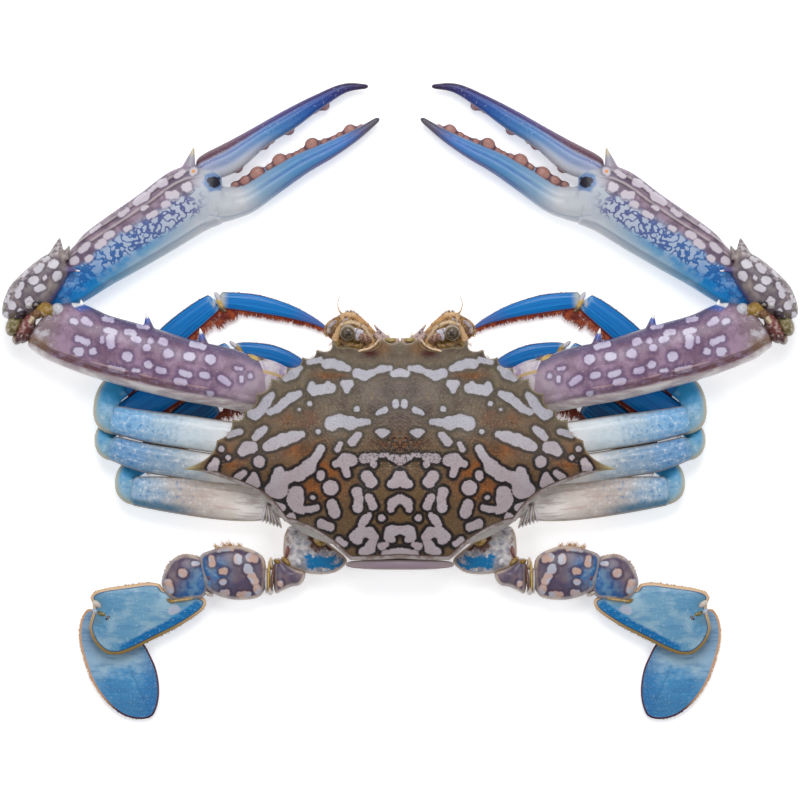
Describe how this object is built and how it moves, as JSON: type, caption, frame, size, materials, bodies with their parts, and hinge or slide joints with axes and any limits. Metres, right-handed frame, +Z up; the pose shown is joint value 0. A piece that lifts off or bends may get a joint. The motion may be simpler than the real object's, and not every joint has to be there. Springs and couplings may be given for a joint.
{
  "type": "blue swimming crab",
  "caption": "Life-size still model of a male blue swimming crab lying flat, claws folded in front of the shell and swimming paddles behind.",
  "frame": {"origin": "centre of the footprint, on the floor plane under the crab", "axes": "+X towards the crab's right claw as seen from above with the front away, +Y the crab's front, +Z up"},
  "size_m": [0.282, 0.2277, 0.036],
  "materials": {
    "spotted_shell": "slightly glossy brown shell with pale lavender blotches",
    "violet_shell": "slightly glossy mauve shell with white spots",
    "pale_shell": "cream underside shell",
    "blue_shell": "bright blue shell",
    "sky_shell": "pale blue mottled shell",
    "tan_shell": "tan, hairy mouthparts",
    "eye": "dark shiny cornea"
  },
  "bodies": {
    "root": {"carapace": "spotted_shell", "underbody": "pale_shell", "abdomen": "pale_shell", "arm_base_R": "pale_shell", "arm_base_L": "pale_shell", "arm_R": "violet_shell", "arm_L": "violet_shell", "wrist_R": "violet_shell", "wrist_L": "violet_shell", "palm_R": "sky_shell", "palm_L": "sky_shell", "finger_R": "violet_shell", "finger_L": "violet_shell", "leg2_merus_R": "sky_shell", "leg2_merus_L": "sky_shell", "leg2_carpus_R": "sky_shell", "leg2_carpus_L": "sky_shell", "leg2_propodus_R": "blue_shell", "leg2_propodus_L": "blue_shell", "leg2_dactyl_R": "blue_shell", "leg2_dactyl_L": "blue_shell", "leg3_merus_R": "sky_shell", "leg3_merus_L": "sky_shell", "leg3_carpus_R": "sky_shell", "leg3_carpus_L": "sky_shell", "leg3_propodus_R": "blue_shell", "leg3_propodus_L": "blue_shell", "leg3_dactyl_R": "blue_shell", "leg3_dactyl_L": "blue_shell", "leg4_merus_R": "sky_shell", "leg4_merus_L": "sky_shell", "leg4_carpus_R": "sky_shell", "leg4_carpus_L": "sky_shell", "leg4_propodus_R": "blue_shell", "leg4_propodus_L": "blue_shell", "leg4_dactyl_R": "blue_shell", "leg4_dactyl_L": "blue_shell", "swim_coxa_R": "violet_shell", "swim_coxa_L": "violet_shell", "swim_ischium_R": "violet_shell", "swim_ischium_L": "violet_shell", "swim_merus_R": "violet_shell", "swim_merus_L": "violet_shell", "swim_carpus_R": "violet_shell", "swim_carpus_L": "violet_shell", "swim_propodus_R": "blue_shell", "swim_propodus_L": "blue_shell", "swim_paddle_R": "blue_shell", "swim_paddle_L": "blue_shell", "eyestalk_R": "violet_shell", "eyestalk_L": "violet_shell", "eye_R": "eye", "eye_L": "eye", "antenna_R": "violet_shell", "antenna_L": "violet_shell", "antennule_R": "violet_shell", "antennule_L": "violet_shell", "maxilliped_R": "tan_shell", "maxilliped_L": "tan_shell"}
  },
  "joints": []
}
